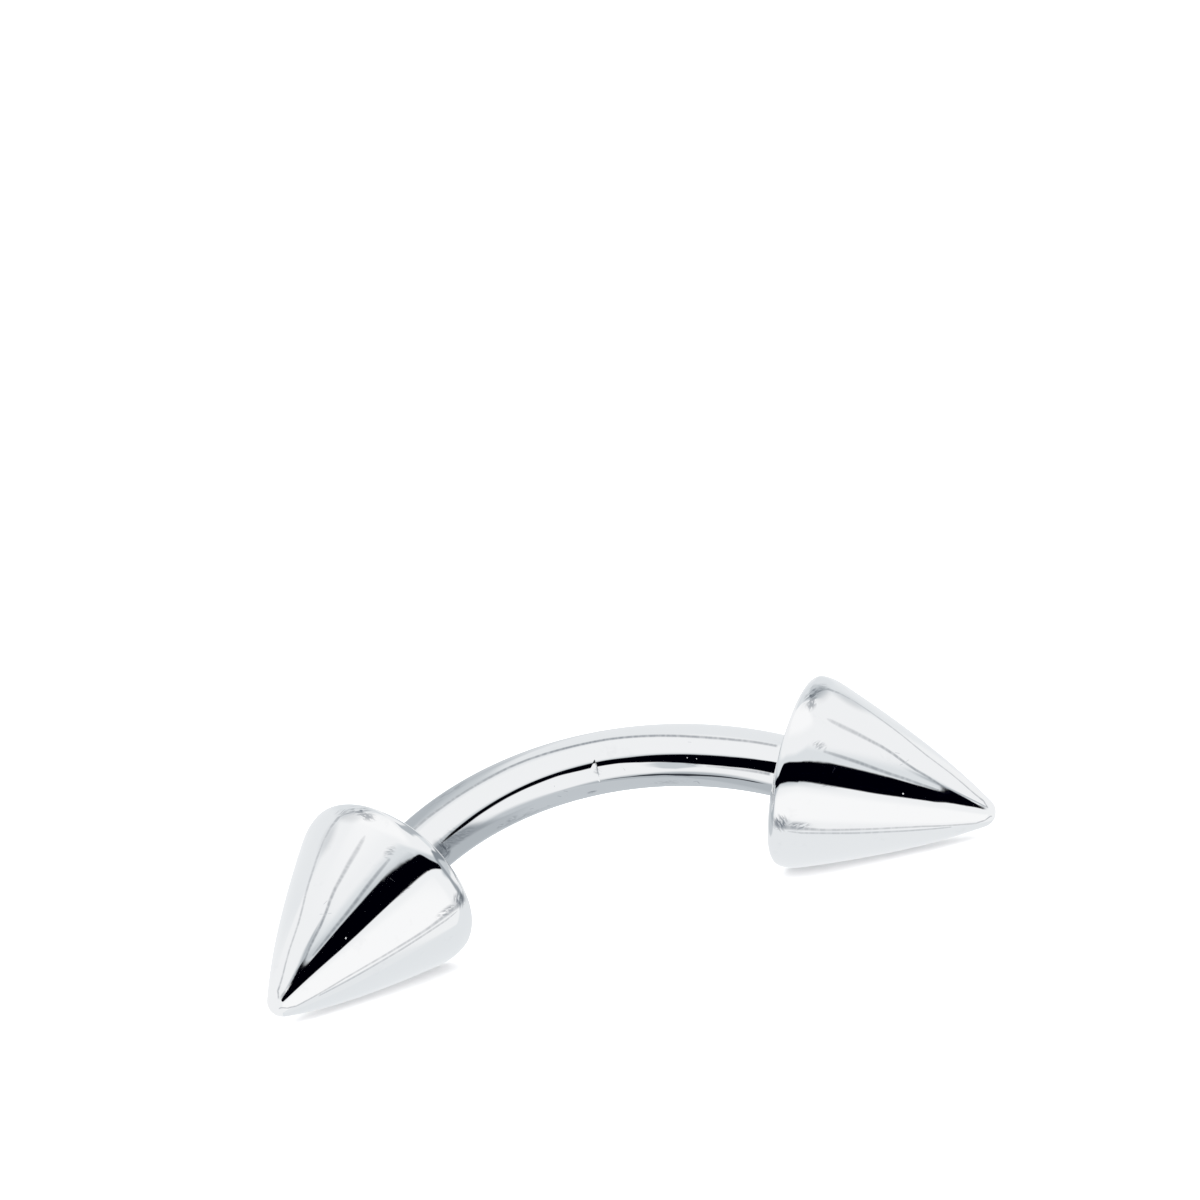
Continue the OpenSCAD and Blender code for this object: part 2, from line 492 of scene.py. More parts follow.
def nick_shape(place, arc_length):
    """A dent with three sloping walls. Its share of the full depth is the least, over its edges, of the
    distance inside that edge over the deepest point's distance. The corners run clockwise, seen from
    outside."""
    corners = np.array(NICK_CORNERS) * MM

    def inside(edge, along, round_it):
        (x0, y0), (x1, y1) = edge
        return (x1 - x0) * (round_it - y0) - (y1 - y0) * (along - x0)

    deepest = np.array(NICK_DEEPEST) * MM
    walls = [inside(edge, place[:, None], arc_length[None, :]) / inside(edge, *deepest)
             for edge in zip(corners, np.roll(corners, -1, axis=0))]
    return np.clip(np.min(walls, axis=0), 0.0, 1.0)


# The dent's corners and deepest point in millimetres: along the bar from its crown, and round it from
# the arc's outside
NICK_CORNERS = ((0.40, 1.27), (0.44, 1.78), (0.24, 1.50))
NICK_DEEPEST = (0.39, 1.53)

# The finish. Each RISE holds the noise that starts to show and the noise that shows in full, and each
# FADE the shares of a mark's size between which it fades out.
WAVES = 1.1  # to the millimetre
FINE_LINES = (8.0, 0.6)  # how finely they vary round and along the surface
UNEVEN_PLACES = (3.0, 14.0)  # the same for the depth of the painted reflection lines
UNEVEN_RISE = (0.3, 0.6)
UNEVEN_DEPTH = (0.75, 0.35)  # its least share, and what the noise adds to it
SMUDGES = (2.2, 4.0, 0.65)  # scale, detail and roughness of their noise
SMUDGE_RISE = (0.6, 0.75)
SMUDGE_SHARE = 0.35
PIT_DEPTH = 0.25  # in radii of the pit
SCRATCH_FADE = (0.3, 0.5)
DARK_PATCH_FADE = (0.2, 1.0)
LINE_FADE = (0.2, 1.4)
LINE_END = 0.03  # millimetres
STROKES = (5.0, 27.0)  # how finely they vary along and across their tilt
STROKE_RISE = (0.43, 0.57)
TURNED_END = 0.05  # millimetres
ROUGHER = {"smudge": 0.04, "scratch": 0.35, "painted_reflection_and_patches": 0.12}  # added roughness


def between(value, start, stop, soft):
    """1 from start to stop and 0 outside them, with soft steps."""
    return value.rise(start - soft, start + soft) * (1.0 - value.rise(stop - soft, stop + soft))


def spot(bench, surface, mark):
    """Offsets in millimetres, round the surface and along it, from the place that a mark starts with:
    its turn in degrees and its length."""
    around, along, spread = surface
    return (around - mark[0] / 360).math("WRAP", 0.5, -0.5) * spread, along - mark[1]


def turned(x, y, tilt):
    """The same offsets on axes turned by an angle in degrees."""
    cosine, sine = math.cos(math.radians(tilt)), math.sin(math.radians(tilt))
    return x * cosine + y * sine, y * cosine - x * sine


def pit(bench, surface, mark):
    """1 in the middle of a small round dent, and 0 from its radius outwards."""
    x, y = spot(bench, surface, mark)
    return 1.0 - (x * x + y * y).math("SQRT").rise(0.0, mark[2])


def scratch(bench, surface, mark):
    """Its depth along the middle of a short straight scratch, and 0 outside its reach and width."""
    reach, width, tilt, depth = mark[2:]
    lengthwise, crosswise = turned(*spot(bench, surface, mark), tilt)
    ended = abs(lengthwise).rise(reach * SCRATCH_FADE[0], reach * SCRATCH_FADE[1])
    return (1.0 - ended) * (1.0 - abs(crosswise).rise(0.0, width)) * depth


# A dark patch in the colour; on the cones some of these are painted reflection of grey cards
def dark_patch(bench, surface, mark):
    """Its depth in the middle of an oval with a soft edge, given by half its sizes round and along."""
    x, y = spot(bench, surface, mark)
    near = ((x / mark[2]) ** 2 + (y / mark[3]) ** 2).math("SQRT")
    return (1.0 - near.rise(*DARK_PATCH_FADE)) * mark[4]


def hatching(bench, surface, mark):
    """A dark patch broken up into fine strokes, by noise that is drawn out along the tilt."""
    lengthwise, crosswise = turned(*spot(bench, surface, mark), mark[5])
    stretched = (lengthwise * STROKES[0] + mark[0], crosswise * STROKES[1], mark[1])
    place = bench.add("CombineXYZ", None, *stretched).outputs[0]
    grain = bench.value("TexNoise", None, Vector=place, Scale=1.0, Detail=2.0, Roughness=0.6)
    return dark_patch(bench, surface, mark) * grain.rise(*STROKE_RISE)


def painted_reflection_line(bench, surface, rows):
    """Painted reflection: a fine dark line along the surface, where the steel would mirror an edge. Its rows
    give the length, and there its turn in degrees, half its width in millimetres and its depth, with straight
    stretches between them."""
    around, along, spread = surface
    turn, half_width, depth = (bench.curve(along, rows, side) for side in (1, 2, 3))
    across = abs((around - turn / 360).math("WRAP", 0.5, -0.5)) * spread
    outside = across.rise(half_width * LINE_FADE[0], half_width * LINE_FADE[1])
    return (1.0 - outside) * depth * between(along, rows[0][0], rows[-1][0], LINE_END)


def polished_steel(name, wear):
    """Mirror-polished steel. Its height is a sum of shallow waves, fine rings from turning, lines along
    the surface and small dents. Scratches are rougher and a little darker, and the painted reflection lines
    and dark patches are darker still. Marks keep their size as the surface narrows by its taper."""
    finish = bpy.context.scene.steel_finish
    material = bpy.data.materials.new(name)
    bench = Bench(material)
    place = bench.add("TexCoord").outputs["Object"]
    millimetres = bench.add("VectorMath", {"operation": "SCALE"}, place, Scale=1 / MM).outputs[0]
    unrolled = bench.add("UVMap", {"uv_map": "along"}).outputs[0]
    split = bench.add("SeparateXYZ", None, unrolled)
    around, along = Value(bench, split.outputs[0]), Value(bench, split.outputs[1])
    narrower = (along - wear["taper_from"]).most(0.0) * (-2 * math.pi * wear["taper"])
    surface = (around, along, narrower + 2 * math.pi * wear["radius"])
    turn = around * (2 * math.pi)
    cosine, sine = turn.math("COSINE"), turn.math("SINE")

    def noise(vector, scale, detail=1.0, roughness=0.5):
        return bench.value("TexNoise", None, Vector=vector, Scale=scale, Detail=detail, Roughness=roughness)

    def wrapped(across, lengthwise):
        place = (cosine * across, sine * across, along * lengthwise)
        return bench.add("CombineXYZ", None, *place).outputs[0]

    def deepest(kind, marks):
        depth = 0.0
        for mark in marks:
            depth = kind(bench, surface, mark).most(depth)
        return depth

    height = noise(millimetres, WAVES) * finish.wave_height
    height = height + noise(wrapped(*wear["rings"]), 1.0, 1.0) * finish.ring_height
    height = height + noise(wrapped(*FINE_LINES), 1.0, 2.0) * finish.line_height
    for mark in wear["pits"]:
        height = height - pit(bench, surface, mark) * (PIT_DEPTH * mark[2])

    dull = deepest(scratch, wear["scratches"])
    uneven = noise(wrapped(*UNEVEN_PLACES), 1.0, 2.0).rise(*UNEVEN_RISE) * UNEVEN_DEPTH[1] + UNEVEN_DEPTH[0]
    # Painted reflection: fine dark lines where the steel would mirror edges, with the dark patches and
    # hatching
    painted_reflection_and_patches = (deepest(painted_reflection_line, wear["lines"]) * uneven).most(deepest(dark_patch, wear["dark_patches"]))
    painted_reflection_and_patches = painted_reflection_and_patches.most(deepest(hatching, wear["hatching"]))
    smudge = noise(millimetres, *SMUDGES).rise(*SMUDGE_RISE)

    colour = bench.tint(smudge * SMUDGE_SHARE, (*finish.steel_colour, 1.0), finish.smudge_colour)
    colour = bench.tint(dull, colour, finish.scratch_colour)
    # The painted reflection lines and the dark patches darken the colour
    colour = bench.tint(painted_reflection_and_patches, colour, finish.line_colour)
    turned_end = 1.0 - along.rise(wear["turned_to"] - TURNED_END, wear["turned_to"] + TURNED_END)
    roughness = smudge * ROUGHER["smudge"] + dull * ROUGHER["scratch"] + painted_reflection_and_patches * ROUGHER["painted_reflection_and_patches"]
    roughness = roughness + turned_end * finish.turned_roughness + finish.polish_roughness
    bump = bench.add("Bump", None, Strength=1.0, Distance=MM, Height=height)
    sockets = {"Metallic": 1.0, "Base Color": colour, "Roughness": roughness, "Normal": bump.outputs[0]}
    shader = bench.add("BsdfPrincipled", None, **sockets)
    bench.add("OutputMaterial", None, Surface=shader.outputs[0])
    return material


# Wear and painted reflections, at places given by the turn in degrees and the length in millimetres along
# the profile or the bar. Pits: radius. Scratches: reach, width, tilt and depth. Dark patches: half sizes
# round and along, and depth. Hatching, dark patches broken into strokes: the same and tilt. Lines, painted
# reflections of edges round the jewel: rows of length, turn, half width and depth. The steel is only turned,
# and not polished, up to the length turned_to. The surface has its radius up to the length taper_from,
# and then narrows by its taper. Rings: how finely the turning's noise varies, round and along.
CONE_WEAR = {
    "turned_to": 2.8, "radius": 1.86, "taper_from": 3.5, "taper": 0.38, "rings": (5, 12),
    "pits": ((-40, 5.54, 0.018),),
    "scratches": (
        (-35.4, 4.13, 0.16, 0.012, 8, 0.3), (-36, 4.93, 0.06, 0.01, 60, 0.3),
        (-2, 5.2, 0.12, 0.012, 70, 0.7), (-5, 5.43, 0.12, 0.01, 25, 0.7), (-11.6, 5.35, 0.09, 0.01, 40, 0.6),
        (-7.2, 5.25, 0.06, 0.01, 120, 0.6)),
    # Painted reflections: fine dark lines where the cones' flanks would mirror edges round the jewel
    "lines": (
        ((3.7, -2.5, 0.02, 0.1), (3.8, -2.6, 0.045, 0.3), (4.05, -2.9, 0.055, 0.42),
         (4.33, -2.8, 0.052, 0.42), (4.6, -3.2, 0.045, 0.48), (4.88, -3.5, 0.04, 0.55),
         (5.13, -5, 0.036, 0.58), (5.4, -8, 0.032, 0.62), (5.64, -10.2, 0.03, 0.65),
         (5.88, -11.5, 0.03, 0.65), (6.1, -13.3, 0.026, 0.55), (6.38, -17.4, 0.022, 0.35)),
        ((3.2, 5, 0.04, 0.5), (3.24, 8.5, 0.05, 0.75), (3.3, 12.5, 0.06, 0.65), (3.38, 18, 0.06, 0.6),
         (3.47, 22.5, 0.055, 0.5), (3.69, 25.5, 0.05, 0.4), (4, 27, 0.038, 0.34), (4.4, 26.6, 0.036, 0.36),
         (4.88, 24.6, 0.033, 0.38), (5.14, 23, 0.032, 0.4), (5.44, 20, 0.03, 0.42),
         (5.73, 17.4, 0.028, 0.42), (6, 16.2, 0.027, 0.42), (6.29, 15.2, 0.026, 0.4),
         (6.58, 12, 0.026, 0.42), (6.89, 6, 0.03, 0.48), (7.1, 2.5, 0.036, 0.55), (7.22, -14, 0.036, 0.5)),
        ((3.85, -24.8, 0.03, 0.35), (4.2, -24.5, 0.04, 0.5), (4.6, -24.4, 0.04, 0.6),
         (4.9, -24.7, 0.038, 0.6), (5.2, -24.8, 0.036, 0.55), (5.5, -24.4, 0.034, 0.5),
         (5.8, -24.3, 0.03, 0.5), (6.2, -23.5, 0.024, 0.4)),
        ((3.17, -76.5, 0.06, 0.6), (3.25, -77, 0.07, 0.65), (3.4, -77.3, 0.065, 0.65),
         (3.55, -77.5, 0.055, 0.58), (3.75, -78.2, 0.046, 0.5), (4.1, -79.2, 0.035, 0.44),
         (4.4, -79.3, 0.031, 0.42), (5.1, -79, 0.028, 0.4), (5.5, -78.5, 0.026, 0.4), (6, -78.3, 0.025, 0.4),
         (6.6, -80.5, 0.024, 0.42), (7.05, -83, 0.03, 0.45), (7.22, -74, 0.034, 0.55),
         (7.34, -52, 0.03, 0.6)),
        ((3.45, -80.4, 0.018, 0.25), (3.71, -81.6, 0.025, 0.36), (4.22, -82.2, 0.027, 0.4),
         (4.74, -82.9, 0.027, 0.38), (5.34, -83.1, 0.025, 0.36), (5.96, -83.9, 0.024, 0.36),
         (6.57, -84.7, 0.022, 0.34))),
    # Dark patches. The first two are painted reflection, standing in for grey cards that the flank would
    # mirror
    "dark_patches": (
        (16, 3.42, 0.42, 0.2, 0.24), (24, 3.95, 0.24, 0.5, 0.22), (9.5, 3.25, 0.07, 0.04, 1),
        (-75.5, 3.33, 0.16, 0.26, 0.35), (-22, 7.12, 0.08, 0.13, 0.45), (-54, 7.34, 0.05, 0.05, 0.5)),
    "hatching": (
        (10, 3.27, 0.4, 0.16, 0.8, 20), (4, 3.33, 0.28, 0.13, 0.7, -15), (20, 3.36, 0.34, 0.12, 0.5, 64),
        (-75, 3.3, 0.24, 0.22, 1, -30), (-76.5, 3.25, 0.16, 0.12, 0.7, 40),
        (-76.5, 3.62, 0.14, 0.36, 0.8, 62), (-22, 3.75, 0.12, 0.2, 0.5, 30),
        (-46, 4.05, 0.06, 0.3, 0.4, 60)),
}
BAR_WEAR = {
    "turned_to": -1, "radius": 0.6, "taper_from": 0, "taper": 0, "rings": (1.2, 2.5),
    "pits": ((137, 8.31, 0.012), (138.5, 8.5, 0.011), (191, 6.3, 0.03), (194, 5.1, 0.025)),
    "scratches": (
        (192, 8.54, 0.12, 0.016, 30, 1), (189, 8.47, 0.1, 0.014, 110, 0.9), (190, 6.29, 0.22, 0.014, 85, 1),
        (193, 6.25, 0.14, 0.012, 80, 0.8), (187.5, 6.34, 0.12, 0.01, 84, 0.7),
        (175, 5.55, 0.12, 0.012, 60, 0.7), (168, 5.7, 0.12, 0.012, 60, 0.7),
        (192, 5.3, 0.08, 0.014, 60, 0.9), (151, 5.48, 0.04, 0.012, 0, 0.6), (151, 7, 0.08, 0.01, 30, 0.5),
        (180, 4.9, 0.12, 0.012, 75, 0.6), (108, 8.35, 0.09, 0.012, 85, 0.4)),
    # Painted reflections: fine dark lines along the bar where it would mirror edges round the jewel
    "lines": (
        ((2.25, 82.5, 0.035, 0.5), (2.8, 83.3, 0.035, 0.5), (3.2, 85, 0.035, 0.55), (4, 85.8, 0.033, 0.58),
         (4.4, 85.5, 0.033, 0.58), (4.8, 84, 0.035, 0.58), (5.2, 84, 0.035, 0.6), (5.6, 85.3, 0.035, 0.68),
         (6, 86.5, 0.034, 0.78), (6.4, 87.3, 0.034, 0.78), (6.8, 87.9, 0.034, 0.76), (7.2, 90, 0.034, 0.72),
         (7.6, 92.3, 0.034, 0.72), (8, 94.3, 0.034, 0.7), (8.4, 96.3, 0.034, 0.68), (8.8, 97.2, 0.034, 0.64),
         (9.2, 96.8, 0.034, 0.6), (9.6, 95.3, 0.034, 0.58), (10.05, 94.2, 0.034, 0.55)),
        ((8.7, 151.5, 0.02, 0.2), (9.1, 151.5, 0.026, 0.4), (9.4, 151.5, 0.028, 0.4),
         (9.7, 150.5, 0.03, 0.5), (10.05, 149.5, 0.035, 0.65))),
    "dark_patches": ((144, 2.53, 0.26, 0.17, 0.5), (158, 2.6, 0.12, 0.14, 0.45), (142, 2.85, 0.2, 0.3, 0.2)),
    "hatching": (
        (146, 6.44, 0.1, 0.12, 0.4, 60), (190, 6.29, 0.07, 0.16, 0.6, 82), (183, 4.4, 0.1, 0.2, 0.4, 60),
        (186, 4.12, 0.08, 0.12, 0.4, 60), (147, 2.6, 0.26, 0.22, 0.9, 20), (154, 2.62, 0.22, 0.24, 0.9, 100),
        (142, 2.95, 0.2, 0.4, 0.5, 50), (152, 3.15, 0.16, 0.5, 0.3, 65), (195, 4.6, 0.16, 0.65, 0.3, 90),
        (61, 3.6, 0.14, 0.7, 0.25, 90), (192, 7.9, 0.12, 0.5, 0.25, 80), (147, 8.45, 0.09, 0.22, 0.4, 80)),
}


def finish_piece(piece, body, node, material):
    piece.data.materials.append(material)
    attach(piece, body)
    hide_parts(node)


class BARBELL_OT_bar(Operator):
    """Make the polished bar with its threaded posts"""

    bl_idname = "barbell.bar"
    bl_label = "Curved Bar"

    def execute(self, context):
        piece = make_bar("polished_bar", context.scene.barbell_sizes)
        finish_piece(piece, "bar", "curved_bar", polished_steel("bar_steel", BAR_WEAR))
        add_shell(piece, SHELL_RADII["bar"], BAR_MARKS, context.scene.studio_settings)
        return {"FINISHED"}


class BARBELL_OT_cones(Operator):
    """Make the two polished cones"""

    bl_idname = "barbell.cones"
    bl_label = "Cones"

    def execute(self, context):
        size = context.scene.barbell_sizes
        material = polished_steel("cone_steel", CONE_WEAR)
        for side, word, marks in ((-1, "left", LEFT_MARKS), (1, "right", RIGHT_MARKS)):
            piece = make_cone(f"polished_cone_{word}", size, side)
            finish_piece(piece, f"{word}_end", f"cone_{word}", material)
            add_shell(piece, SHELL_RADII[word], marks, context.scene.studio_settings)
        return {"FINISHED"}


def towards(azimuth, elevation):
    """Unit vector from the jewel to a place round it, with the angles in radians."""
    level = math.cos(elevation)
    return np.array([math.sin(azimuth) * level, -math.cos(azimuth) * level, math.sin(elevation)])


def camera_turn(studio):
    """The camera's own axes as columns: right, up and back, rolled clockwise about the line of sight."""
    back = Vector(towards(studio.azimuth, studio.elevation))
    right = Vector((0, 0, 1)).cross(back).normalized()
    upright = Matrix((right, back.cross(right), back)).transposed()
    return upright @ Matrix.Rotation(-studio.roll, 3, "Z")


class BARBELL_OT_stage(Operator):
    """Make the floor, the white tent and the camera"""

    bl_idname = "barbell.stage"
    bl_label = "Stage and Camera"

    def execute(self, context):
        studio = context.scene.studio_settings
        add_floor(studio)
        add_tent(studio)
        add_camera(studio)
        context.scene.view_settings.view_transform = "Standard"
        return {"FINISHED"}


def add_floor(studio):
    half = 3.0
    corners = [(-half, -half, 0), (half, -half, 0), (half, half, 0), (-half, half, 0)]
    mesh = bpy.data.meshes.new("floor")
    mesh.from_pydata(corners, [], [(0, 1, 2, 3)])
    floor = add_object("floor", mesh)
    material = bpy.data.materials.new("white_floor")
    bench = Bench(material)
    paint = bench.add("BsdfDiffuse", None, Color=(*studio.floor_colour, 1.0))
    bench.add("OutputMaterial", None, Surface=paint.outputs[0])
    mesh.materials.append(material)
    floor.visible_glossy = False


def add_tent(studio):
    """White light all round for the floor. The steel mirrors the shells instead."""
    world = bpy.data.worlds.new("white_tent")
    bpy.context.scene.world = world
    world.cycles_visibility.glossy = False
    bench = Bench(world)
    light = bench.add("Background", None, Color=(1.0, 1.0, 1.0, 1.0), Strength=studio.tent_strength)
    bench.add("OutputWorld", None, Surface=light.outputs[0])


def ball(name, radius, around=64, rows=32):
    """A sphere's points: the sines and cosines of longitude and latitude on a grid."""
    latitude = (np.arange(1, rows) / rows - 0.5) * math.pi
    longitude = np.arange(around) / around * 2 * math.pi
    flat = np.stack([np.cos(longitude), np.sin(longitude), np.zeros(around)], axis=-1)
    rings = radius * (np.cos(latitude)[:, None, None] * flat
                      + np.sin(latitude)[:, None, None] * np.array([0.0, 0.0, 1.0]))
    pole = np.array([0.0, 0.0, radius])
    return skin(name, rings, -pole, pole, radius * latitude)


def add_shell(piece, radius, marks, studio):
    """A glowing shell that only one piece mirrors, white with the marks of a light tent's slot,
    seams and grey cards on it. The shells let each other's light through."""
    shell = ball(f"shell_{piece.name}", radius)
    material = bpy.data.materials.new(shell.name)
    bench = Bench(material)
    azimuth, elevation = shell_angles(bench, studio)
    colour = (*SHADES["veil"], 1.0)
    for shade, soft, rows, *upward in marks:
        place, other = (elevation, azimuth) if upward else (azimuth, elevation)
        colour = bench.tint(stripe(bench, place, other, soft, rows), colour, SHADES[shade])
    glow = bench.add("Emission", None, Color=colour, Strength=studio.shell_strength)
    clear = bench.add("BsdfTransparent")
    both = bench.add("AddShader", None, glow.outputs[0], clear.outputs[0])
    bench.add("OutputMaterial", None, Surface=both.outputs[0])
    material.cycles.emission_sampling = "NONE"
    shell.data.materials.append(material)
    shell.visible_camera = shell.visible_diffuse = shell.visible_transmission = shell.visible_shadow = False
    lit = bpy.data.collections.new(f"lit_by_{shell.name}")
    lit.objects.link(piece)
    shell.light_linking.receiver_collection = lit


def shell_angles(bench, studio):
    """Azimuth to the right and elevation, in degrees, of a direction from the jewel,
    measured from the direction that the photograph was taken from."""
    turn = camera_turn(studio)
    place = bench.add("TexCoord").outputs["Object"]
    towards_it = bench.add("VectorMath", {"operation": "NORMALIZE"}, place).outputs[0]
    dot = {"operation": "DOT_PRODUCT"}
    right, up, back = (
        bench.value("VectorMath", dot, towards_it, tuple(turn.col[i]), output=1) for i in range(3))
    return right.math("ARCTAN2", back) * (180 / math.pi), up.math("ARCSINE") * (180 / math.pi)


def stripe(bench, place, other, soft, rows):
    """1 between a low and a high edge that change with the place, and 0 outside them and past both ends."""
    low, high = (bench.curve(place, rows, side) for side in (1, 2))
    return between(other, low, high, soft) * between(place, rows[0][0], rows[-1][0], soft)


# What the steel mirrors: shade, softness of the edges, and rows of (azimuth, low edge, high edge), or of
# (elevation, left edge, right edge) in marks that end with "upward". All are in degrees from the camera.
SHADES = {
    "veil": (0.95, 0.958, 0.965),
    "white": (1.03, 1.03, 1.03),
    "frost": (0.855, 0.875, 0.89),
    "hoar": (0.825, 0.85, 0.868),
    "pale": (0.78, 0.81, 0.83),
    "mist": (0.61, 0.645, 0.67),
    "haze": (0.565, 0.60, 0.63),
    "card": (0.47, 0.505, 0.535),
    "dusk": (0.345, 0.375, 0.405),
    "seam": (0.265, 0.295, 0.325),
    "line": (0.04, 0.045, 0.055),
    "black": (0.0, 0.0, 0.002),
}
RIGHT_MARKS = (
    ("white", 6, ((-50, -50, -30), (-20, -58, -26), (15, -62, -24), (60, -64, -14))),
    ("white", 8, ((-110, 45, 80), (0, 45, 80), (40, 50, 80))),
    ("pale", 4, (
        (-150, 0, 18), (-60, 0, 19), (0, 0, 19), (22, 10, 24), (28, 14, 27), (40, 18, 35), (56, 30, 44))),
    ("frost", 2.5, (
        (-195, -95, -10), (-130, -95, -10), (-90, -95, -30), (-55, -95, -55), (-20, -95, -60),
        (14, -95, -64), (22, -95, -77), (60, -95, -74), (90, -95, -70), (120, -95, -40), (150, -95, -5),
        (195, -95, -5))),
    ("mist", 4, ((-95, -24, 0), (-60, -21, 0), (-30, -17, 0), (0, -18, 0), (14, -18, -10))),
    ("frost", 5, ((140, 44, 95), (150, 32, 95), (160, 18, 95), (172, 2, 95), (195, -8, 95))),
    ("frost", 5, ((-195, -8, 95), (-160, 5, 95), (-148, 22, 95))),
    ("pale", 5, (
        (112, 66, 95), (125, 60, 95), (138, 50, 95), (150, 38, 92), (160, 30, 90), (172, 20, 88),
        (195, 10, 86))),
    ("mist", 5, ((110, 72, 84), (125, 66, 82), (138, 58, 82), (146, 47, 80), (160, 50, 76), (172, 54, 70))),
    ("card", 4, ((128, 72, 78), (140, 66, 78), (147, 56, 76), (156, 62, 72), (164, 64, 70))),
    ("pale", 5, ((-195, 40, 95), (-150, 38, 95), (-132, 42, 95), (-120, 50, 95), (-110, 66, 95))),
    ("mist", 4, (
        (-132, -14, 12), (-122, -36, 12), (-105, -50, 10), (-90, -54, 8), (-78, -50, 6), (-64, -40, 0))),
    ("card", 4, ((-106, -18, 4), (-95, -32, 4), (-84, -44, 4), (-74, -36, 0), (-64, -30, -8))),
    ("dusk", 2.5, (
        (-165, -1, 9), (-140, 0, 9), (-120, -2, 9), (-105, -9, 6), (-92, -13, 5), (-80, -12, 2),
        (-62, -14, -6))),
    ("card", 3, ((46, 31, 37), (54, 28, 35), (61, 24, 31))),
    ("black", 1, (
        (-91, -2, 1.5), (-80, -7, 2.5), (-60, -11, 2), (-40, -14, 8), (-30, -14, 10), (-12, -13.5, 11),
        (0, -14.5, 9.8), (10, -15.5, 8.8), (14, -13.8, 8.4), (17, -13.2, 8.6), (20, -12.9, 11.2),
        (22, -12, 13.6), (26, -9.9, 15.2), (28, -8.5, 16), (30, -7.2, 17.3), (34, -1.4, 17.5),
        (36, 1.2, 18.3), (38, 3.8, 19.1), (40, 6.6, 20.5), (42, 8.9, 23), (44, 11.5, 25.7), (46, 14.5, 28.5),
        (48, 19, 30.7), (51, 29, 32))),
)
LEFT_MARKS = (
    ("white", 6, ((0, -60, -12), (40, -60, -6), (78, -60, -32))),
    ("white", 8, ((-80, 48, 80), (0, 45, 80), (20, 40, 60))),
    ("pale", 4, ((-36, 33, 38), (-30, 28, 35), (-20, 21, 32), (0, 18, 34), (30, 18, 32), (60, 12, 26))),
    ("mist", 3, (
        (-22, 20, 26), (0, 18, 27), (9, 18, 24), (20, 18, 23), (27, 18, 27), (40, 18, 28), (60, 12, 26))),
    ("frost", 2, ((60, -95, -60), (80, -95, -44), (100, -95, -44), (140, -95, -20), (195, -95, -5))),
    ("frost", 5, (
        (-195, -6, 95), (-160, 2, 95), (-145, 10, 95), (-128, 18, 95), (-112, 27, 95), (-104, 40, 95))),
    ("pale", 5, ((-195, 22, 95), (-150, 30, 95), (-132, 42, 95), (-122, 50, 95))),
    ("hoar", 3, ((84, -16, -2), (92, -24, 1), (104, -42, 2), (120, -60, 2), (150, -95, 4), (195, -95, 4))),
    ("pale", 3, ((66, 38, 60), (100, 42, 60), (140, 36, 60), (170, 22, 60))),
    ("mist", 4, (
        (60, 4, 28), (68, 2, 28), (75, 4, 28), (81, 14, 30), (105, 21, 34), (135, 18, 30), (160, 6, 20))),
    ("card", 3, (
        (24, 66, 80), (40, 54, 72), (60, 58, 74), (100, 58, 72), (120, 50, 66), (140, 40, 56),
        (160, 30, 44))),
    ("dusk", 2.5, (
        (57, 20, 29), (61, 11, 26), (64, 7, 18), (69, 2, 11), (74, -3, 5), (80, -8, 0), (88, -12, -4),
        (97, -19, -11))),
    ("seam", 2, ((58, 21, 33), (66, 24, 37), (90, 28, 38), (120, 28, 38), (140, 22, 32), (165, 10, 20))),
    ("card", 2.5, ((-38, 34, 38), (-30, 28, 32), (-25, 23, 28), (-19, 18, 25))),
    ("black", 1, (
        (-24, 24, 26), (-22, 23.2, 25.4), (-18, 18.9, 23.2), (-14, 15.8, 20.7), (-12, 12, 19.6),
        (-8, 4, 17.8), (-4, -3, 18.5), (0, -4, 21), (4, -4.2, 22.2), (7, -4.2, 23.4), (10, -4, 22.4),
        (14, -3.8, 20.6), (18, -3.2, 19.2), (21, -2.8, 20.4), (24, -1, 22.6), (28, 1.8, 24.8),
        (32, 2.6, 25.6), (36, 3.4, 24.6), (40, 6, 22.8), (45, 8, 21), (50, 9.5, 19.8), (58, 10.5, 17.6),
        (61, 11, 14))),
)
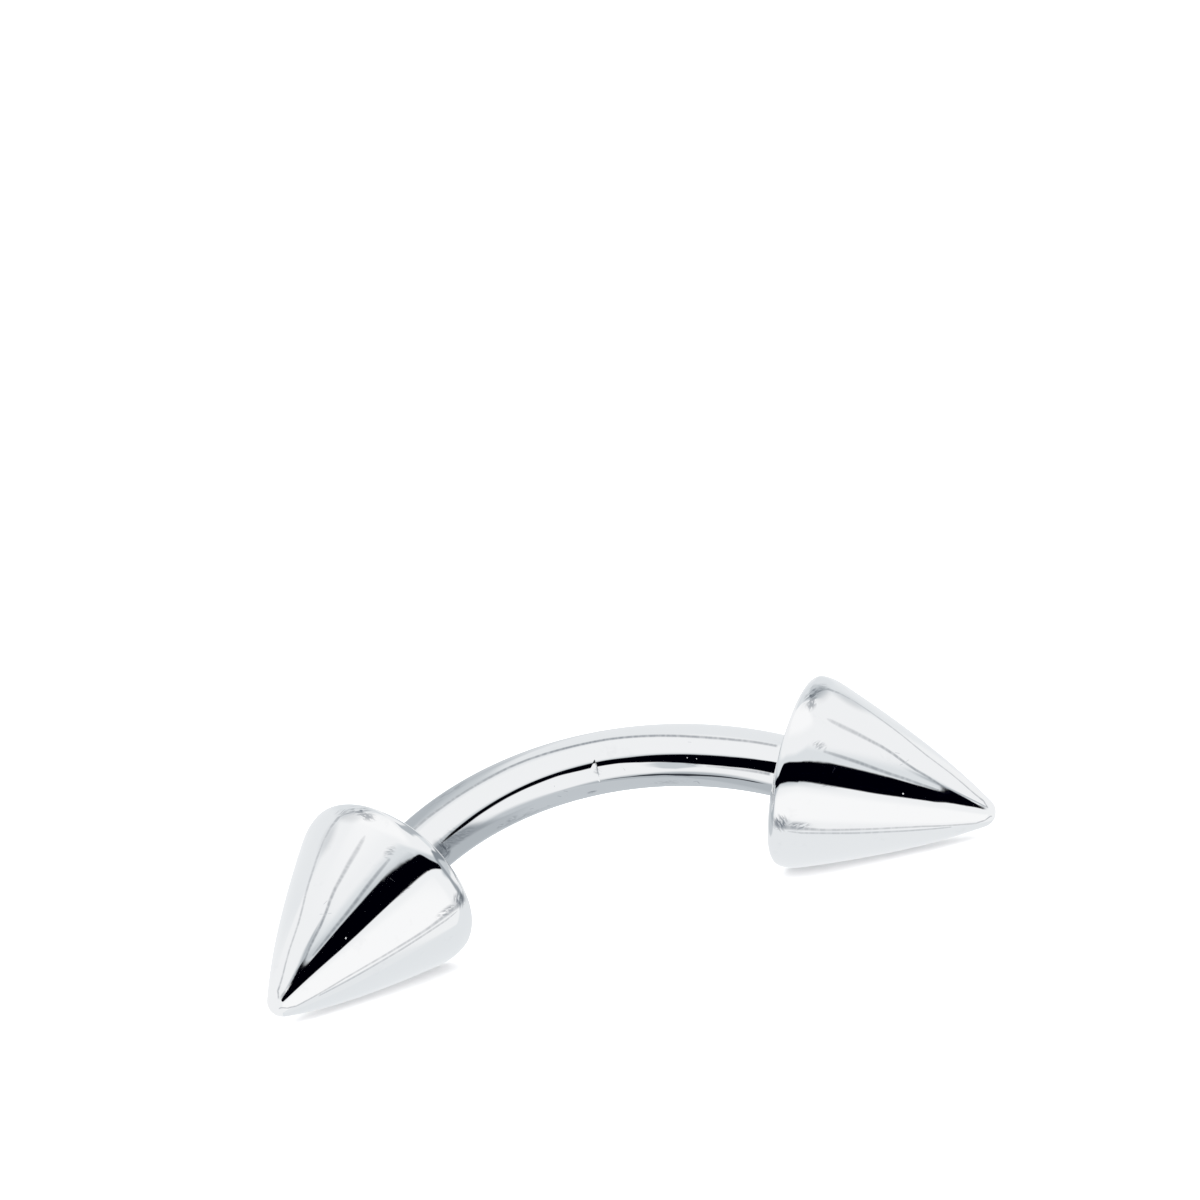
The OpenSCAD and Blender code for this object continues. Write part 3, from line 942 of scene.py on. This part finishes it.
BAR_MARKS = (
    ("card", 6, (
        (-195, -95, -14), (-165, -95, -16), (-150, -95, -30), (-100, -95, -50), (-80, -95, -58),
        (-60, -95, -62), (20, -95, -64), (40, -95, -58), (60, -95, -50), (66, -95, -42))),
    ("haze", 9, (
        (-95, 60, 195), (-60, 62, 195), (-45, 64, 195), (-20, 72, 195), (0, 66, 195),
        (12, 64, 195)), "upward"),
    ("haze", 9, ((-95, -200, -140), (-70, -200, -150), (-45, -200, -160), (-20, -200, -168)), "upward"),
    ("card", 6, ((90, -46, 0), (120, -46, 0), (158, -40, 0))),
    ("dusk", 6, ((62, 0, 26), (70, -14, 20), (80, -28, 10), (92, -38, 0))),
    ("frost", 6, (
        (-195, -4, 95), (-165, 20, 95), (-140, 58, 95), (-120, 68, 95), (-80, 78, 95), (0, 82, 95),
        (60, 82, 95), (140, 66, 95), (160, 6, 95), (195, -4, 95))),
    ("mist", 5, (
        (-166, 36, 46), (-160, 40, 54), (-152, 46, 66), (-142, 52, 76), (-132, 58, 82), (-122, 64, 84))),
    ("card", 9, (
        (18, -176, -90), (30, -169, -90), (45, -162, -90), (60, -149, -85), (72, -135, -80)), "upward"),
    ("mist", 4, ((-9, -44, -24), (0, -52, -24), (6, -48, -24), (9, -40, -26))),
    ("line", 1.5, (
        (-80, -69, -65), (-69, -71.5, -66), (-58, -77, -69), (-45, -80.5, -70.5), (-24, -84, -73),
        (5, -82.5, -71.5), (21, -77, -67.5), (30, -75.5, -66.5), (37, -72, -66.5), (42, -68, -62.5),
        (48, -62, -58.5))),
    ("mist", 5, (
        (-24, 0, 14), (-10, -6, 6), (5, -4, 8), (20, 0, 14), (40, 4, 16), (58, 4, 19), (66, 0, 26))),
    ("black", 1.5, (
        (-34, -24, 21), (-25, -28, 21), (-20, -32, 11), (-14, -33, 4.5), (-7, -32, 2.5), (0, -27, 3.5),
        (10, -19, 5), (15, -10.5, 8.5), (20, -7, 9.5), (25, -6, 11.5), (30, -0.5, 12.8), (45, 2.5, 12.5),
        (62, 2.5, 13), (67, 7, 11))),
)


def add_camera(studio):
    data = bpy.data.cameras.new("camera")
    camera = add_object("camera", data)
    turn = camera_turn(studio)
    place = Vector(studio.aim) + turn.col[2] * studio.distance
    camera.matrix_world = Matrix.Translation(place) @ turn.to_4x4()
    data.sensor_fit = "HORIZONTAL"
    data.sensor_width = 36.0
    data.lens = data.sensor_width * studio.distance / studio.picture_width
    data.clip_start = 0.01
    data.clip_end = 20.0
    bpy.context.scene.camera = camera


class BARBELL_PT_panel(Panel):
    """Lists the sizes, the finish and the operators"""

    bl_label = "Curved Barbell"
    bl_idname = "BARBELL_PT_panel"
    bl_space_type = "VIEW_3D"
    bl_region_type = "UI"
    bl_category = "Barbell"

    def draw(self, context):
        for group in (context.scene.barbell_sizes, context.scene.steel_finish, context.scene.studio_settings):
            box = self.layout.box()
            for name in group.__annotations__:
                box.prop(group, name)
        for operator in OPERATORS:
            self.layout.operator(operator.bl_idname)


OPERATORS = (BARBELL_OT_stage, BARBELL_OT_bar, BARBELL_OT_cones)
GROUPS = {"barbell_sizes": BarbellSizes, "steel_finish": SteelFinish, "studio_settings": StudioSettings}


def register():
    for group in GROUPS.values():
        bpy.utils.register_class(group)
    for name, group in GROUPS.items():
        setattr(bpy.types.Scene, name, PointerProperty(type=group))
    for item in (*OPERATORS, BARBELL_PT_panel):
        bpy.utils.register_class(item)


def unregister():
    for item in reversed((*OPERATORS, BARBELL_PT_panel)):
        bpy.utils.unregister_class(item)
    for name in GROUPS:
        delattr(bpy.types.Scene, name)
    for group in GROUPS.values():
        bpy.utils.unregister_class(group)


def main():
    register()
    bpy.ops.barbell.stage()
    bpy.ops.barbell.bar()
    bpy.ops.barbell.cones()


if __name__ == "__main__":
    main()
